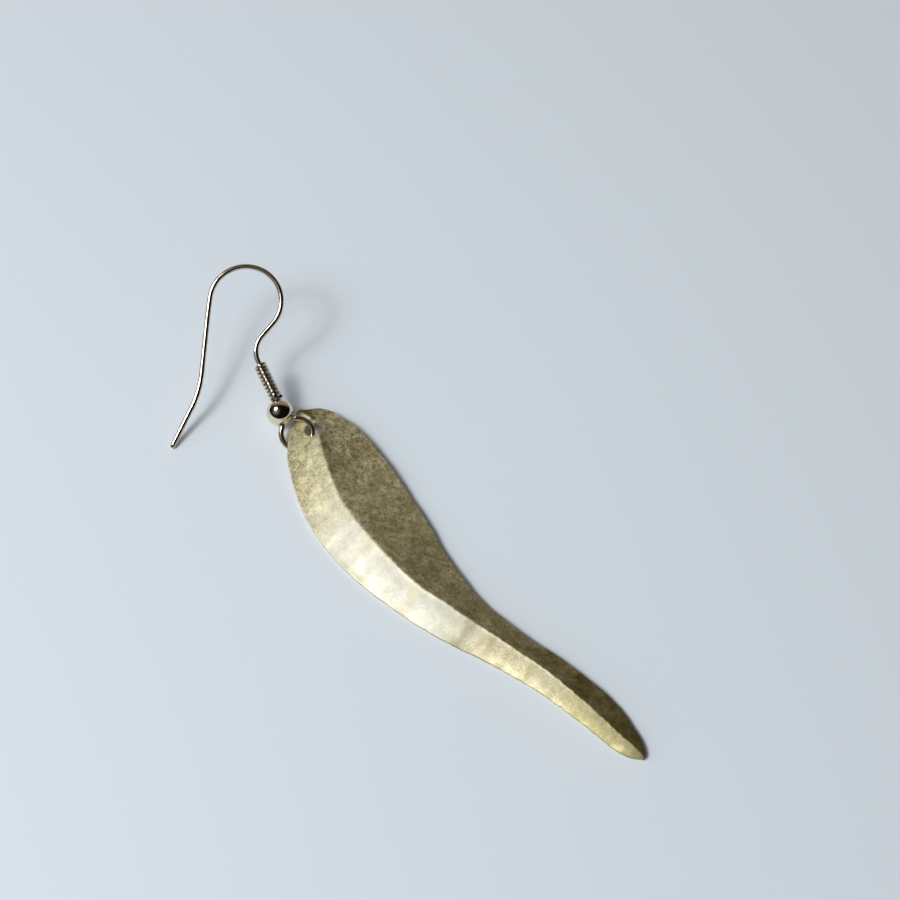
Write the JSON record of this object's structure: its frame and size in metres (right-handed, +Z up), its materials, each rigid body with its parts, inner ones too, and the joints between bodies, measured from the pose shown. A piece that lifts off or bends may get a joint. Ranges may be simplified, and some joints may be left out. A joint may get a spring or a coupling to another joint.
{
  "type": "leaf drop earring with ear wire",
  "caption": "Hammered brass leaf drop with a lengthwise crease, on a gold-toned fish-hook ear wire with a coil and a bead, lying flat.",
  "frame": {"origin": "middle of the bounding box, on the surface that the earring lies on", "axes": "+Z up from the surface, +Y from the leaf's tail towards the ear wire, +X across the leaf to its wider face"},
  "size_m": [0.0197, 0.0728, 0.0093],
  "materials": {
    "hook_metal": "polished, gold plated",
    "leaf_brass": "hammered, brushed and slightly tarnished"
  },
  "bodies": {
    "root": {"ear_hook": "hook_metal", "wire_coil": "hook_metal", "ball_bead": "hook_metal", "leaf": "leaf_brass"}
  },
  "joints": []
}
